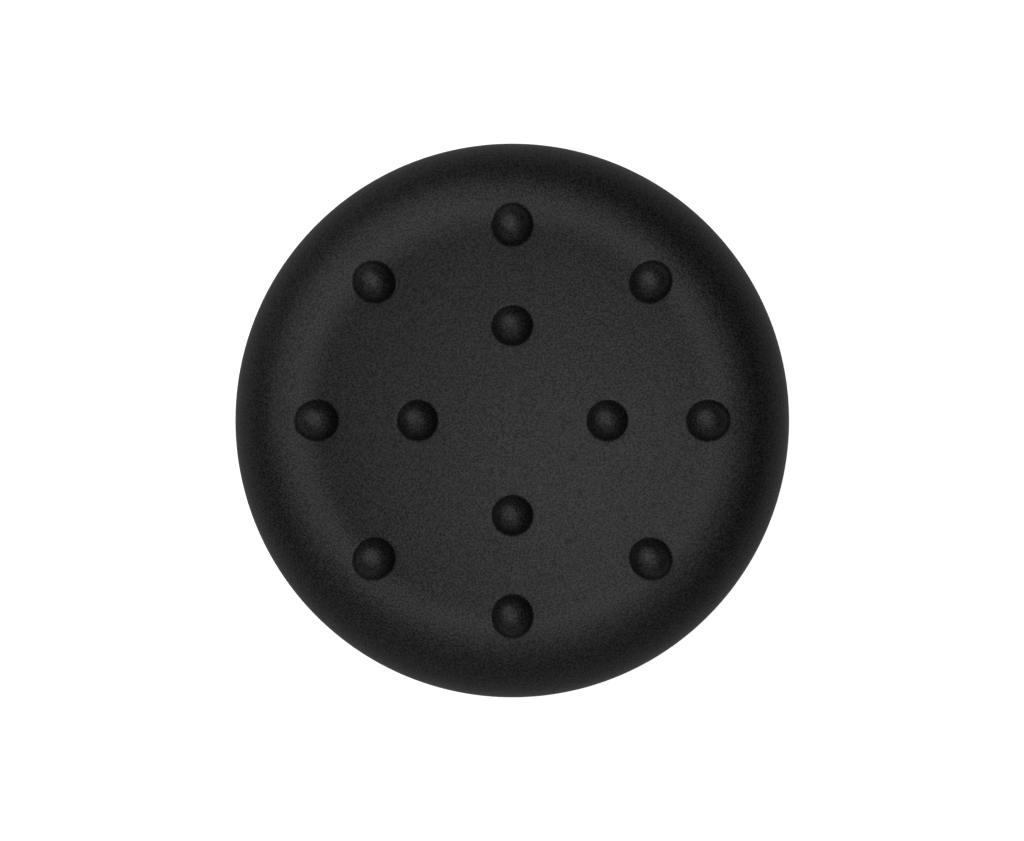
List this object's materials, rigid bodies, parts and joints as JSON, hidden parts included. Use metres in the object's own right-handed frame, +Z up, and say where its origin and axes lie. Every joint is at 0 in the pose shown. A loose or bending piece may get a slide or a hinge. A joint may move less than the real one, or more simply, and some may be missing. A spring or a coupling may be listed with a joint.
{
  "type": "controller thumb grip",
  "caption": "Round black silicone cap for a thumbstick: dished top with raised round nubs inside a soft rolled rim, hollow underside with a gripping lip.",
  "frame": {"origin": "centre of the flat ring that the cap stands on, on the cap's axis", "axes": "+Z up the cap's axis towards the dished top; +X and +Y each pass over one nub of both rings"},
  "size_m": [0.021, 0.021, 0.0089],
  "materials": {
    "silicone": "matt moulded silicone with a fine even grain"
  },
  "bodies": {
    "root": {"silicone_cap": "silicone"}
  },
  "joints": []
}
